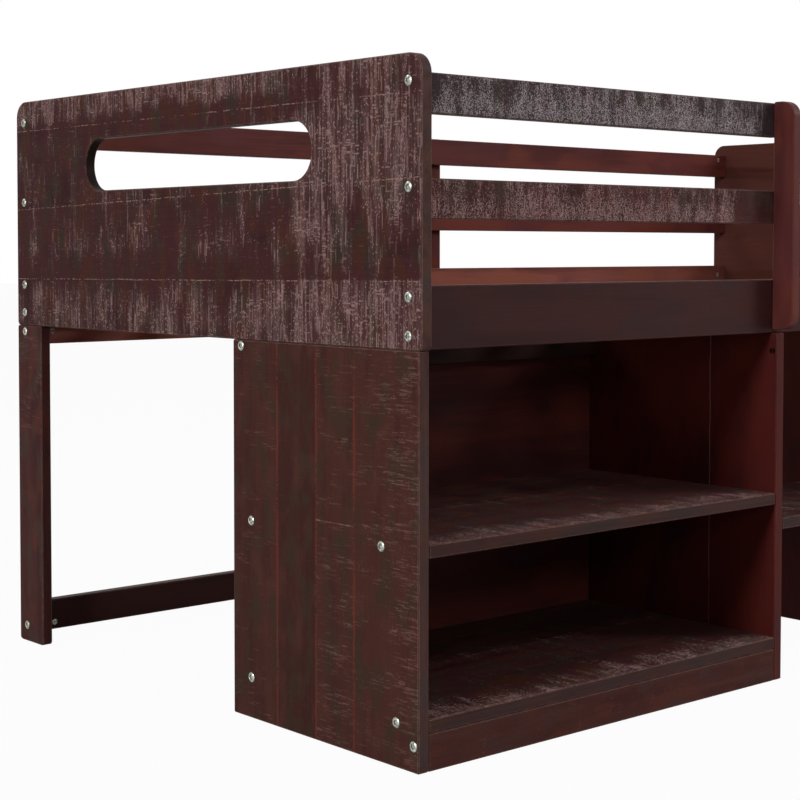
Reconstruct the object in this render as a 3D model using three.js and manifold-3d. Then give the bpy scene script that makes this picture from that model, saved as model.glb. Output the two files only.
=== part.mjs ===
// Low loft bed for a twin mattress: two glued-up end panels with a long grip slot, carried by two
// bookcases at the front and two legs at the rear, with guard rails and a step between the bookcases.
// It knocks down: every rail, shelf and kickboard is drawn to its upright by bolts in barrel nuts, and
// dowels carry the end panels and the tread. The bolts and nuts are left out, and their bores are open.
// Millimetres, +X along the bed, +Y from the open front to the rear, +Z up. The origin is on the floor,
// in the middle of the bed's length and depth.

import * as THREE from "three";
import Module from "manifold-3d";
import { mergeVertices } from "three/addons/utils/BufferGeometryUtils.js";

const wasm = await Module();
wasm.setup();

// Overall sizes
const bedLength = 1990; // outer face to outer face of the end panels
const bedWidth = 1070; // front edge to rear edge of an end panel
const deckHeight = 565; // floor to the underside of the end panels and the front side rail

// Stock
const panelThickness = 19; // glued-up boards: ends, legs, bookcases, tread
const railThickness = 20;
const railWidth = 54; // guard rails, rear stretcher and bookcase back rails
const arris = 1.5; // eased edge of every board
const squareCorner = arris * 2; // radius of a corner that reads as square beside rounded ones
const cornerFacet = 4; // longest facet of a rounded corner
const fit = 0.3; // clearance between two pieces that seat on each other

// End panels
const endPanelHeight = 394;
const topCornerRadius = 28;
const bottomCornerRadius = 6;
const slotLength = 606;
const slotHeight = 86;
const slotRise = 275; // underside of the panel to the middle of the slot

// Rails
const railInset = 16; // rails lie this far inside the end panels' front and rear edges
const frontSideRailWidth = 86;
const rearSideRailWidth = 128;
const rearSideRailDrop = 34; // how far the rear side rail laps down over the legs
const lowerGuardGap = 89; // front side rail to lower guard rail
const upperGuardGap = 86; // lower guard rail to upper guard rail

// Guard stiles
const frontStileDepth = 40;
const rearStileWidth = 40;
const stileCornerRadius = 25;
const stileLift = 5; // the stiles start this far above the underside of the front side rail
const stileHead = 2; // and end this far above the upper guard rail

// Rear legs
const legWidth = 80;
const legFootRadius = 6;
const stretcherRise = 16; // floor to the underside of the rear stretcher

// Bookcases
const bookcaseWidth = 798;
const bookcaseDepth = 415;
const bookcaseSetback = 5; // bookcase front behind the end panels' front edge
const kickboardHeight = 52;
const lowerBayHeight = 216; // clear height between the two shelves
const backThickness = 5;
const backGrooveDepth = 6;
const backGrooveClearance = 0.25;
const backInset = 6; // rear edge of the bookcase sides to the back panel
const backDrop = 12; // the back panel reaches this far below the bottom shelf's underside

// Step between the bookcases
const treadTop = 264;
const treadDepth = 245;

// Slats
const slatCount = 14;
const slatWidth = 68;
const slatThickness = 18;
const slatEndGap = 3;
const cleatWidth = 25;
const cleatHeight = 25;
const cleatEndGap = 12;

// Bolts in barrel nuts
const boltHole = 7; // clears a 6 mm bolt
const boltBoreDepth = 52; // from the end of a rail or shelf
const nutHole = 10;
const nutBoreDepth = 15;
const nutFromEnd = 30; // end of a rail or shelf to the middle of its barrel nut
const overrun = 2; // bores start this far outside the wood
const boreFacets = 8;

// How far the bolts lie from the edges of what they hold
const guardBoltDrop = 12; // upper edge of a guard rail to its bolts
const stretcherBoltRise = 13; // lower edge of the rear stretcher to its bolts
const frontUpperBoltDrop = 15; // upper edge of the front side rail to its upper bolt
const frontLowerBoltRise = 19; // lower edge of the front side rail to its lower bolt
const rearUpperBoltDrop = 22; // upper edge of the rear side rail to its upper bolt
const rearMiddleBoltRise = 57; // lower edge of the rear side rail to its middle bolt
const rearLowerBoltRise = 23; // lower edge of the rear side rail to the bolt through the leg
const backRailBoltDrop = 9; // upper edge of a bookcase back rail to its bolts
const kickboardBoltRise = 36;
const shelfFrontBoltInset = 75.5; // front edge of a middle shelf to its front bolt
const bottomShelfFrontBoltInset = 44.5;
const shelfRearBoltInset = 34; // rear edge of a shelf to its rear bolt
const stileBoreDepth = 25; // in a front stile
const rearRailBoreDepth = 14; // in a rear rail, behind the rear stile

// Dowels
const dowelDiameter = 8;
const dowelLength = 30;
const legDowelInset = 12; // front and rear edges of a leg to its dowels
const bookcaseDowelInset = 50; // front and rear edges of a bookcase side to its dowels
const treadDowelInset = 45; // front and rear edges of the tread to its dowels
const treadDowelDepth = 12; // how far the tread's dowels stand in the bookcases

// Places that several pieces share
const stileProjection = frontStileDepth - railInset;
const overallDepth = bedWidth + stileProjection;
const frontEdge = stileProjection - overallDepth / 2;
const rearEdge = overallDepth / 2;
const halfLength = bedLength / 2;
const railStart = panelThickness + fit;
const frontRailFace = frontEdge + railInset;
const frontRailBack = frontRailFace + railThickness;
const rearRailBack = rearEdge - railInset;
const rearRailFace = rearRailBack - railThickness;
const frontSideRailTop = deckHeight + frontSideRailWidth;
const lowerGuardBottom = frontSideRailTop + lowerGuardGap;
const upperGuardBottom = lowerGuardBottom + railWidth + upperGuardGap;
const upperGuardTop = upperGuardBottom + railWidth;
const supportTop = deckHeight - fit;

// Colours of the stained and plain wood
const distressedStain = { color: 0x3a2424, roughness: 0.62, metalness: 0 };
const smoothStain = { color: 0x4d221f, roughness: 0.45, metalness: 0 };
const backBoard = { color: 0x3b1f1c, roughness: 0.7, metalness: 0 };
const plainPine = { color: 0xc9a878, roughness: 0.75, metalness: 0 };

const bed = new THREE.Group();

function add(name, geometry, finish) {
  const mesh = new THREE.Mesh(geometry, new THREE.MeshStandardMaterial(finish));
  mesh.name = name;
  bed.add(mesh);
}

// The bores to be cut in each piece, by the piece's name
const bores = new Map();

// One round bore between two points, through each of the named pieces that it meets. The flats of its
// facets clear the diameter.
function bore(names, diameter, from, to) {
  const radius = diameter / 2 / Math.cos(Math.PI / boreFacets);
  const along = to.clone().sub(from);
  const cylinder = new THREE.CylinderGeometry(radius, radius, along.length(), boreFacets);
  const turn = new THREE.Quaternion().setFromUnitVectors(
    new THREE.Vector3(0, 1, 0),
    along.clone().normalize(),
  );
  const middle = from.clone().add(to).divideScalar(2);
  cylinder.applyQuaternion(turn).translate(middle.x, middle.y, middle.z);
  for (const name of names) bores.set(name, [...(bores.get(name) ?? []), cylinder]);
}

function asSolid(geometry) {
  const plain = geometry.clone();
  plain.deleteAttribute("normal");
  plain.deleteAttribute("uv");
  const merged = mergeVertices(plain);
  return new wasm.Manifold(
    new wasm.Mesh({
      numProp: 3,
      vertProperties: merged.attributes.position.array,
      triVerts: new Uint32Array(merged.index.array),
    }),
  );
}

// Takes a piece's bores out of it.
function cutBores(mesh) {
  const cut = bores
    .get(mesh.name)
    .reduce((wood, tool) => wood.subtract(asSolid(tool)), asSolid(mesh.geometry))
    .getMesh();
  const geometry = new THREE.BufferGeometry();
  geometry.setAttribute("position", new THREE.BufferAttribute(cut.vertProperties, 3));
  geometry.setIndex(new THREE.BufferAttribute(cut.triVerts, 1));
  mesh.geometry = geometry.toNonIndexed();
  mesh.geometry.computeVertexNormals();
}

// An outline extruded between two heights, with its end edges eased.
function extrudeEased(shape, from, to, ease = arris) {
  const geometry = new THREE.ExtrudeGeometry(shape, {
    depth: to - from - ease * 2,
    bevelEnabled: true,
    bevelThickness: ease,
    bevelSize: ease,
    bevelOffset: -ease,
    bevelSegments: 1,
  });
  return geometry.translate(0, 0, from + ease);
}

// A polygon whose listed corners are cut off at 45 degrees by the ease.
function easedOutline(points, corners, ease = arris) {
  const shape = new THREE.Shape();
  const cut = (at, towards) => {
    const step = towards.clone().sub(at).setLength(ease);
    return at.clone().add(step);
  };
  const outline = points.flatMap((point, i) => {
    if (!corners.includes(i)) return [point];
    const before = points[(i + points.length - 1) % points.length];
    const after = points[(i + 1) % points.length];
    return [cut(point, before), cut(point, after)];
  });
  return shape.setFromPoints(outline);
}

function rectangle(x0, x1, y0, y1, ease = arris) {
  const points = [
    new THREE.Vector2(x0, y0),
    new THREE.Vector2(x1, y0),
    new THREE.Vector2(x1, y1),
    new THREE.Vector2(x0, y1),
  ];
  return easedOutline(points, [0, 1, 2, 3], ease);
}

// A straight board given by its extent along each axis.
function board(x, y, z, ease = arris) {
  return extrudeEased(rectangle(...x, ...y, ease), ...z, ease);
}

// A rectangle with its own radius at each corner, from the lower left one round anticlockwise.
function roundedRectangle(x0, x1, y0, y1, radii, Outline = THREE.Shape) {
  const [lowerLeft, lowerRight, upperRight, upperLeft] = radii;
  const quarter = Math.PI / 2;
  const corner = (x, y, radius, start) => {
    const facets = Math.ceil((radius * quarter) / cornerFacet);
    return Array.from({ length: facets + 1 }, (_, i) => {
      const angle = start + (quarter * i) / facets;
      return new THREE.Vector2(x + radius * Math.cos(angle), y + radius * Math.sin(angle));
    });
  };
  return new Outline([
    ...corner(x0 + lowerLeft, y0 + lowerLeft, lowerLeft, -quarter * 2),
    ...corner(x1 - lowerRight, y0 + lowerRight, lowerRight, -quarter),
    ...corner(x1 - upperRight, y1 - upperRight, upperRight, 0),
    ...corner(x0 + upperLeft, y1 - upperLeft, upperLeft, quarter),
  ]);
}

// Turns a solid drawn in the YZ plane and extruded along its own z so that it stands along X.
const standUp = new THREE.Matrix4().makeBasis(
  new THREE.Vector3(0, 1, 0),
  new THREE.Vector3(0, 0, 1),
  new THREE.Vector3(1, 0, 0),
);

function panelAlongX(shape, x) {
  return extrudeEased(shape, ...x).applyMatrix4(standUp);
}

// A stretch of X given by its distances inwards from the outer face of the end panel on that side.
function inwards(side, near, far) {
  const a = side * (halfLength - near);
  const b = side * (halfLength - far);
  return a < b ? [a, b] : [b, a];
}

// End panels: rounded upper corners and a stadium-shaped grip slot
function endPanel(side) {
  const top = deckHeight + endPanelHeight;
  const corners = [bottomCornerRadius, bottomCornerRadius, topCornerRadius, topCornerRadius];
  const outline = roundedRectangle(frontEdge, rearEdge, deckHeight, top, corners);
  const middleY = (frontEdge + rearEdge) / 2;
  const middleZ = deckHeight + slotRise;
  const slotRadius = slotHeight / 2;
  const slot = roundedRectangle(
    middleY - slotLength / 2,
    middleY + slotLength / 2,
    middleZ - slotRadius,
    middleZ + slotRadius,
    [slotRadius, slotRadius, slotRadius, slotRadius],
    THREE.Path,
  );
  outline.holes.push(slot);
  return panelAlongX(outline, inwards(side, 0, panelThickness));
}

// Rear legs: boards flush under the end panels
function rearLeg(side) {
  const foot = [legFootRadius, legFootRadius, squareCorner, squareCorner];
  const outline = roundedRectangle(rearEdge - legWidth, rearEdge, 0, supportTop, foot);
  return panelAlongX(outline, inwards(side, 0, panelThickness));
}

// Front guard stiles: boards on edge in front of the rails, rounded at their free corners
function frontStile(side) {
  const outline = roundedRectangle(
    frontRailFace - frontStileDepth,
    frontRailFace - fit,
    deckHeight + stileLift,
    upperGuardTop + stileHead,
    [stileCornerRadius, squareCorner, squareCorner, stileCornerRadius],
  );
  return panelAlongX(outline, inwards(side, bookcaseWidth - panelThickness, bookcaseWidth));
}

// Rails that run the whole length between the end panels
function fullLengthRail(y, z) {
  return board([railStart - halfLength, halfLength - railStart], y, z);
}

// Bookcase sides: a plan outline with the back panel's groove, extruded upwards
const bookcaseFront = frontEdge + bookcaseSetback;
const bookcaseRear = bookcaseFront + bookcaseDepth;
const backFace = bookcaseRear - backInset - backThickness;
const shelfRear = backFace - fit;

function bookcaseSide(side, near, far, grooveAtFar) {
  const [x0, x1] = inwards(side, near, far);
  const grooveOnRight = grooveAtFar === side < 0;
  const mouth = grooveOnRight ? x1 : x0;
  const floor = grooveOnRight ? x1 - backGrooveDepth : x0 + backGrooveDepth;
  const grooveFront = backFace - backGrooveClearance;
  const grooveRear = backFace + backThickness + backGrooveClearance;
  const groove = [
    new THREE.Vector2(mouth, grooveFront),
    new THREE.Vector2(floor, grooveFront),
    new THREE.Vector2(floor, grooveRear),
    new THREE.Vector2(mouth, grooveRear),
  ];
  const front = [new THREE.Vector2(x0, bookcaseFront), new THREE.Vector2(x1, bookcaseFront)];
  const rear = [new THREE.Vector2(x1, bookcaseRear), new THREE.Vector2(x0, bookcaseRear)];
  const points = grooveOnRight
    ? [...front, ...groove, ...rear]
    : [...front, ...rear, ...groove.reverse()];
  const corners = grooveOnRight ? [0, 1, 6, 7] : [0, 1, 2, 3];
  return extrudeEased(easedOutline(points, corners), 0, supportTop);
}

const bottomShelfTop = kickboardHeight + panelThickness;
const middleShelfBottom = bottomShelfTop + lowerBayHeight;

function addBookcase(side, word) {
  const prefix = "bookcase_" + word + "_";
  const inside = inwards(side, railStart, bookcaseWidth - railStart);
  const shelfDepth = [bookcaseFront, shelfRear];
  const backReach = panelThickness - backGrooveDepth + backGrooveClearance;
  const outer = bookcaseSide(side, 0, panelThickness, true);
  const inner = bookcaseSide(side, bookcaseWidth - panelThickness, bookcaseWidth, false);
  add(prefix + "outer_side", outer, distressedStain);
  add(prefix + "inner_side", inner, smoothStain);
  add(
    prefix + "kickboard",
    board(inside, [bookcaseFront, bookcaseFront + panelThickness], [0, kickboardHeight - fit]),
    distressedStain,
  );
  add(
    prefix + "bottom_shelf",
    board(inside, shelfDepth, [kickboardHeight, bottomShelfTop]),
    distressedStain,
  );
  add(
    prefix + "middle_shelf",
    board(inside, shelfDepth, [middleShelfBottom, middleShelfBottom + panelThickness]),
    distressedStain,
  );
  add(
    prefix + "back_rail",
    board(inside, [shelfRear - panelThickness, shelfRear], [supportTop - railWidth, supportTop]),
    smoothStain,
  );
  add(
    prefix + "back_panel",
    board(
      inwards(side, backReach, bookcaseWidth - backReach),
      [backFace, backFace + backThickness],
      [kickboardHeight - backDrop, supportTop],
      backGrooveClearance,
    ),
    backBoard,
  );
}

// The two ends are alike, with the pieces turned to face each other
const sides = [
  [-1, "left"],
  [1, "right"],
];
for (const [side, word] of sides) {
  add("end_panel_" + word, endPanel(side), distressedStain);
  add("rear_leg_" + word, rearLeg(side), distressedStain);
  addBookcase(side, word);
  const shortRail = inwards(side, railStart, bookcaseWidth);
  const railDepth = [frontRailFace, frontRailBack];
  add(
    "guard_rail_front_" + word + "_lower",
    board(shortRail, railDepth, [lowerGuardBottom, lowerGuardBottom + railWidth]),
    distressedStain,
  );
  add(
    "guard_rail_front_" + word + "_upper",
    board(shortRail, railDepth, [upperGuardBottom, upperGuardTop]),
    distressedStain,
  );
  add("guard_stile_front_" + word, frontStile(side), smoothStain);
}

// Rails along the front and the rear
const rearSideRailBottom = deckHeight - rearSideRailDrop;
const rearRailDepth = [rearRailFace, rearRailBack];
add(
  "side_rail_front",
  fullLengthRail([frontRailFace, frontRailBack], [deckHeight, frontSideRailTop]),
  smoothStain,
);
add(
  "side_rail_rear",
  fullLengthRail(rearRailDepth, [rearSideRailBottom, rearSideRailBottom + rearSideRailWidth]),
  smoothStain,
);
add(
  "guard_rail_rear_lower",
  fullLengthRail(rearRailDepth, [lowerGuardBottom, lowerGuardBottom + railWidth]),
  smoothStain,
);
add(
  "guard_rail_rear_upper",
  fullLengthRail(rearRailDepth, [upperGuardBottom, upperGuardTop]),
  smoothStain,
);
add(
  "rear_stretcher",
  fullLengthRail(rearRailDepth, [stretcherRise, stretcherRise + railWidth]),
  distressedStain,
);
add(
  "guard_stile_rear",
  board(
    [-rearStileWidth / 2, rearStileWidth / 2],
    [rearRailBack + fit, rearEdge],
    [deckHeight + stileLift, upperGuardTop + stileHead],
  ),
  smoothStain,
);

// Step tread, held at both ends by the inner sides of the bookcases
const treadHalf = halfLength - bookcaseWidth - fit;
add(
  "step_tread",
  board(
    [-treadHalf, treadHalf],
    [bookcaseFront, bookcaseFront + treadDepth],
    [treadTop - panelThickness, treadTop],
  ),
  distressedStain,
);

// Cleats on the inner faces of the side rails, with the slats laid across them
const cleatHalf = halfLength - panelThickness - cleatEndGap;
const cleatZ = [deckHeight, deckHeight + cleatHeight];
const frontCleatY = [frontRailBack + fit, frontRailBack + cleatWidth];
const rearCleatY = [rearRailFace - cleatWidth, rearRailFace - fit];
add("slat_cleat_front", board([-cleatHalf, cleatHalf], frontCleatY, cleatZ), plainPine);
add("slat_cleat_rear", board([-cleatHalf, cleatHalf], rearCleatY, cleatZ), plainPine);

const slatBottom = deckHeight + cleatHeight + fit;
const slatSpan = halfLength - panelThickness;
for (let i = 0; i < slatCount; i++) {
  const middle = slatSpan * ((i * 2 + 1) / slatCount - 1);
  const slat = board(
    [middle - slatWidth / 2, middle + slatWidth / 2],
    [frontRailBack + slatEndGap, rearRailFace - slatEndGap],
    [slatBottom, slatBottom + slatThickness],
  );
  add("slat_" + String(i + 1).padStart(2, "0"), slat, plainPine);
}

// A bolt along X through an upright into the end of a rail or shelf. Its head lies at x, it points
// along sense, and its barrel nut goes in from the given face of the piece that it holds.
function boltAlongX(upright, held, x, sense, y, z, nutFace) {
  const at = (distance) => new THREE.Vector3(x + sense * distance, y, z);
  const end = panelThickness + fit;
  bore([upright, held], boltHole, at(-overrun), at(end + boltBoreDepth));
  const { axis, face, into } = nutFace;
  const from = at(end + nutFromEnd);
  const to = from.clone();
  from[axis] = face - into * overrun;
  to[axis] = face + into * nutBoreDepth;
  bore([held], nutHole, from, to);
}

// The faces that barrel nuts go in from: the inner faces of the rails
const fromFrontRailBack = { axis: "y", face: frontRailBack, into: -1 };
const fromRearRailFace = { axis: "y", face: rearRailFace, into: 1 };

const frontRailMiddle = (frontRailFace + frontRailBack) / 2;
const rearRailMiddle = (rearRailFace + rearRailBack) / 2;
const upperGuardBolt = upperGuardTop - guardBoltDrop;
const lowerGuardBolt = lowerGuardBottom + railWidth - guardBoltDrop;

function boltEnd(side, word) {
  const panel = "end_panel_" + word;
  const leg = "rear_leg_" + word;
  const head = side * halfLength;
  const front = (held, z) =>
    boltAlongX(panel, held, head, -side, frontRailMiddle, z, fromFrontRailBack);
  const rear = (upright, held, z) =>
    boltAlongX(upright, held, head, -side, rearRailMiddle, z, fromRearRailFace);
  front("guard_rail_front_" + word + "_upper", upperGuardBolt);
  front("guard_rail_front_" + word + "_lower", lowerGuardBolt);
  front("side_rail_front", frontSideRailTop - frontUpperBoltDrop);
  front("side_rail_front", deckHeight + frontLowerBoltRise);
  rear(panel, "guard_rail_rear_upper", upperGuardBolt);
  rear(panel, "guard_rail_rear_lower", lowerGuardBolt);
  rear(panel, "side_rail_rear", rearSideRailBottom + rearSideRailWidth - rearUpperBoltDrop);
  rear(panel, "side_rail_rear", rearSideRailBottom + rearMiddleBoltRise);
  rear(leg, "side_rail_rear", rearSideRailBottom + rearLowerBoltRise);
  rear(leg, "rear_stretcher", stretcherRise + stretcherBoltRise);
}

// Both sides of a bookcase are bolted to the same shelves, kickboard and back rail
function boltBookcase(side, word) {
  const prefix = "bookcase_" + word + "_";
  const uprights = [
    [prefix + "outer_side", side * halfLength, -side],
    [prefix + "inner_side", side * (halfLength - bookcaseWidth), side],
  ];
  const frontShelfBolt = bookcaseFront + shelfFrontBoltInset;
  const frontBottomBolt = bookcaseFront + bottomShelfFrontBoltInset;
  const rearShelfBolt = shelfRear - shelfRearBoltInset;
  const middleShelfZ = middleShelfBottom + panelThickness / 2;
  const bottomShelfZ = kickboardHeight + panelThickness / 2;
  const kickboardY = bookcaseFront + panelThickness / 2;
  const backRailY = shelfRear - panelThickness / 2;
  const underMiddle = { axis: "z", face: middleShelfBottom, into: 1 };
  const underBottom = { axis: "z", face: kickboardHeight, into: 1 };
  const behindKickboard = { axis: "y", face: bookcaseFront + panelThickness, into: -1 };
  const beforeBackRail = { axis: "y", face: shelfRear - panelThickness, into: 1 };
  for (const [upright, x, sense] of uprights) {
    const bolt = (piece, y, z, nutFace) =>
      boltAlongX(upright, prefix + piece, x, sense, y, z, nutFace);
    bolt("middle_shelf", frontShelfBolt, middleShelfZ, underMiddle);
    bolt("middle_shelf", rearShelfBolt, middleShelfZ, underMiddle);
    bolt("bottom_shelf", frontBottomBolt, bottomShelfZ, underBottom);
    bolt("bottom_shelf", rearShelfBolt, bottomShelfZ, underBottom);
    bolt("kickboard", kickboardY, kickboardBoltRise, behindKickboard);
    bolt("back_rail", backRailY, supportTop - backRailBoltDrop, beforeBackRail);
  }
}

// The front guard stiles are bolted from the rails' inner faces into blind bores. The rear one is bolted
// from its own outer face, and there the bores are blind in the rails.
function boltStile(stile, x, rails, from, to) {
  for (const [rail, z] of rails) {
    bore([rail, stile], boltHole, new THREE.Vector3(x, from, z), new THREE.Vector3(x, to, z));
  }
}

function boltFrontStile(side, word) {
  const middle = side * (halfLength - bookcaseWidth + panelThickness / 2);
  const rails = [
    ["side_rail_front", deckHeight + frontSideRailWidth / 2],
    ["guard_rail_front_" + word + "_lower", lowerGuardBottom + railWidth / 2],
    ["guard_rail_front_" + word + "_upper", upperGuardBottom + railWidth / 2],
  ];
  const blindEnd = frontRailFace - fit - stileBoreDepth;
  boltStile("guard_stile_front_" + word, middle, rails, frontRailBack + overrun, blindEnd);
}

function boltRearStile() {
  const rails = [
    ["side_rail_rear", rearSideRailBottom + rearSideRailWidth / 2],
    ["guard_rail_rear_lower", lowerGuardBottom + railWidth / 2],
    ["guard_rail_rear_upper", upperGuardBottom + railWidth / 2],
  ];
  boltStile("guard_stile_rear", 0, rails, rearEdge + overrun, rearRailBack - rearRailBoreDepth);
}

// A dowel pin that lies along an axis about its middle point, and its hole in the two pieces that it
// joins. The pin has eased ends, and the hole clears it all round.
function addDowel(name, pieces, middle, axis) {
  const along = new THREE.Vector3();
  along[axis] = dowelLength / 2 + fit;
  bore(pieces, dowelDiameter + fit * 2, middle.clone().sub(along), middle.clone().add(along));
  const radius = dowelDiameter / 2;
  const half = dowelLength / 2;
  const outline = [
    new THREE.Vector2(0, -half),
    new THREE.Vector2(radius - arris, -half),
    new THREE.Vector2(radius, arris - half),
    new THREE.Vector2(radius, half - arris),
    new THREE.Vector2(radius - arris, half),
    new THREE.Vector2(0, half),
  ];
  const pin = new THREE.LatheGeometry(outline, boreFacets);
  if (axis === "z") pin.rotateX(Math.PI / 2);
  if (axis === "x") pin.rotateZ(Math.PI / 2);
  add(name, pin.translate(middle.x, middle.y, middle.z), plainPine);
}

// The end panels stand on dowels in the legs and in the bookcases' outer sides
function addPanelDowels(side, word) {
  const x = side * (halfLength - panelThickness / 2);
  const leg = "rear_leg_" + word;
  const bookcase = "bookcase_" + word + "_outer_side";
  const seats = [
    [bookcase, bookcaseFront + bookcaseDowelInset],
    [bookcase, bookcaseRear - bookcaseDowelInset],
    [leg, rearEdge - legWidth + legDowelInset],
    [leg, rearEdge - legDowelInset],
  ];
  seats.forEach(([carrier, y], i) => {
    const name = "end_panel_dowel_" + word + "_" + (i + 1);
    addDowel(name, [carrier, "end_panel_" + word], new THREE.Vector3(x, y, deckHeight), "z");
  });
}

// The tread hangs between the bookcases on dowels, blind in their inner sides
function addTreadDowels(side, word) {
  const blindEnd = halfLength - bookcaseWidth + treadDowelDepth;
  const x = side * (blindEnd - dowelLength / 2);
  const z = treadTop - panelThickness / 2;
  const places = [bookcaseFront + treadDowelInset, bookcaseFront + treadDepth - treadDowelInset];
  const pieces = ["bookcase_" + word + "_inner_side", "step_tread"];
  places.forEach((y, i) => {
    const name = "tread_dowel_" + word + "_" + (i + 1);
    addDowel(name, pieces, new THREE.Vector3(x, y, z), "x");
  });
}

for (const [side, word] of sides) {
  boltEnd(side, word);
  boltBookcase(side, word);
  boltFrontStile(side, word);
  addPanelDowels(side, word);
  addTreadDowels(side, word);
}
boltRearStile();
bed.children.filter((mesh) => bores.has(mesh.name)).forEach(cutBores);

export default bed;
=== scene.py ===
"""Looks of a low loft bed: sawn boards under a dark brown-red stain, planed inner faces, and zinc bolts.

Lengths are in metres, in the bed's frame: +X along the bed, +Y from the open front to the rear, +Z up.
"""

import math

import bmesh
import bpy
import numpy as np
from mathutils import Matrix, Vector


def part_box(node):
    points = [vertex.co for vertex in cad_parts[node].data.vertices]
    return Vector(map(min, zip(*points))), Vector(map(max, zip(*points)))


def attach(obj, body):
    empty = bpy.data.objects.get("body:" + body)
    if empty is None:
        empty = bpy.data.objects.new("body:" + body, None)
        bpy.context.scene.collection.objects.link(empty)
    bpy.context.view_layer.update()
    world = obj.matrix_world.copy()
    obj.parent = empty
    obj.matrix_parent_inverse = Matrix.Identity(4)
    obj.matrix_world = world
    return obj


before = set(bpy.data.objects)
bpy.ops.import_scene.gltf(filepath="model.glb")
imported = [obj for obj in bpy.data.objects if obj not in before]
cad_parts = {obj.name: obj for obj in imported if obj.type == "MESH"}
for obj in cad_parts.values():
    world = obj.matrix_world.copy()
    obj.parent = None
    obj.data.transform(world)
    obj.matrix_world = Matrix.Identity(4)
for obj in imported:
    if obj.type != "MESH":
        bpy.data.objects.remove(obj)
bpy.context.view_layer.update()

MM = 0.001
SIDES = ("left", "right")
WHITE = (1.0, 1.0, 1.0, 1.0)
ORIGIN = (0.0, 0.0, 0.0)
# The corners of a box, and two axes
LOW, HIGH = 0, 1
Y, Z = 1, 2

# The photograph's camera: its place is measured from the floor under the left end panel's front corner
IMAGE_SIDE = 800
FOCAL_PIXELS = 1725.65
PRINCIPAL_X, PRINCIPAL_Y = 365.3, 319.3
CAMERA_FROM_CORNER = Vector((-1.5269, -1.6764, 0.6986))
CAMERA_TURN = math.radians(40.46)
CAMERA_TILT = math.radians(2.306)
SENSOR_WIDTH = 36.0

# Floor and light
FLOOR_SIDE = 60.0
FLOOR_SHADE = 0.45
FLOOR_ROUGHNESS = 0.9
FLOOR_WHITE_SHARE = 0.96
AMBIENT = 0.13
LAMP_AIM = Vector((-0.6, -0.2, 0.45))
LAMP_DISTANCE = 4.5
# Each lamp's turn from the front towards the left end, its height angle, its width and its power
LAMPS = {
    "lamp_left": (80, 18, 0.7, 118.0),
    "lamp_right": (-50, 25, 1.2, 80.0),
    "lamp_front": (8, 20, 0.85, 34.0),
    "lamp_above": (0, 70, 1.4, 30.0),
    "lamp_rear": (165, 45, 1.4, 40.0),
}

# Seams between glued planks: heights or depths from the board's lower or front edge, each with a slope
END_PANEL_SEAMS = ((87 * MM, -0.0093), (217 * MM, -0.0243), (342 * MM, 0.0))
BOOKCASE_SIDE_SEAMS = ((133 * MM, 0.0), (217 * MM, 0.0), (307 * MM, 0.0))
INNER_SIDE_SEAMS = ((134 * MM, 0.0),)
SHELF_SEAMS = ((118 * MM, 0.0), (232 * MM, 0.0), (330 * MM, 0.0))
# The second plank of a bookcase's outer side is pieced at this height
JOINT_HEIGHT, JOINT_WIDTH, JOINT_LEVELS = 316 * MM, 1.6 * MM, (0.15, 0.55)

# Sizes of a bolt's head, its socket and its barrel nut
FACETS, RIM_STEPS = 36, 4
HEAD_WIDTH, HEAD_HEIGHT, HEAD_RIM = 14.0 * MM, 2.0 * MM, 1.2 * MM
COLLAR, COLLAR_HEIGHT = 0.8 * MM, 0.15 * MM
SOCKET_WIDTH, SOCKET_DEPTH, SOCKET_CHAMFER = 6.4 * MM, 1.2 * MM, 0.4 * MM
SOCKET_FLOOR_SHARE = 0.7
NUT_WIDTH, NUT_DEPTH = 10.0 * MM, 4.0 * MM
SLOT_WIDTH, SLOT_DEPTH, SECTIONS_BESIDE_SLOT = 2.0 * MM, 0.5 * MM, 7
MERGE_DISTANCE = 0.001 * MM
# Shares of dirt and painted shade, darkest in the sockets, the nuts' slots and the collar round each
# head's foot
CLEAN_AND_UNSHADED, GRIMY_AND_SHADED = 0.0, 1.0
RIM_GRIME_AND_SHADE, CHAMFER_GRIME_AND_SHADE, SOCKET_FLOOR_GRIME_AND_SHADE = 0.35, 0.8, 0.2
NUT_FACE_GRIME_AND_SHADE, NUT_SLOT_GRIME_AND_SHADE = 0.15, 0.9

# A nut lies this far from the end of its piece, which meets the end board with a gap
END_BOARD, END_GAP, NUT_FROM_END = 19 * MM, 0.3 * MM, 30 * MM
SIDE_NUT_INSET, SIDE_NUT_DROP = 9 * MM, 29 * MM
# Each bolt: the piece it holds, its axis, edge and inset there, and the axis and side of its nut's face
END_BOLTS = (
    ("guard_rail_front_{side}_upper", Z, HIGH, 12 * MM, Y, HIGH),
    ("guard_rail_front_{side}_lower", Z, HIGH, 12 * MM, Y, HIGH),
    ("side_rail_front", Z, HIGH, 15 * MM, Y, HIGH),
    ("side_rail_front", Z, LOW, 19 * MM, Y, HIGH),
    ("guard_rail_rear_upper", Z, HIGH, 12 * MM, Y, LOW),
    ("guard_rail_rear_lower", Z, HIGH, 12 * MM, Y, LOW),
    ("side_rail_rear", Z, HIGH, 22 * MM, Y, LOW),
    ("side_rail_rear", Z, LOW, 57 * MM, Y, LOW),
    ("side_rail_rear", Z, LOW, 23 * MM, Y, LOW),
    ("rear_stretcher", Z, LOW, 13 * MM, Y, LOW),
)
BOOKCASE_BOLTS = (
    ("middle_shelf", Y, LOW, 75.5 * MM, Z, LOW),
    ("middle_shelf", Y, HIGH, 34 * MM, Z, LOW),
    ("bottom_shelf", Y, LOW, 44.5 * MM, Z, LOW),
    ("bottom_shelf", Y, HIGH, 34 * MM, Z, LOW),
    ("kickboard", Z, LOW, 36 * MM, Y, HIGH),
    ("back_rail", Z, HIGH, 9 * MM, Y, LOW),
)

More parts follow.
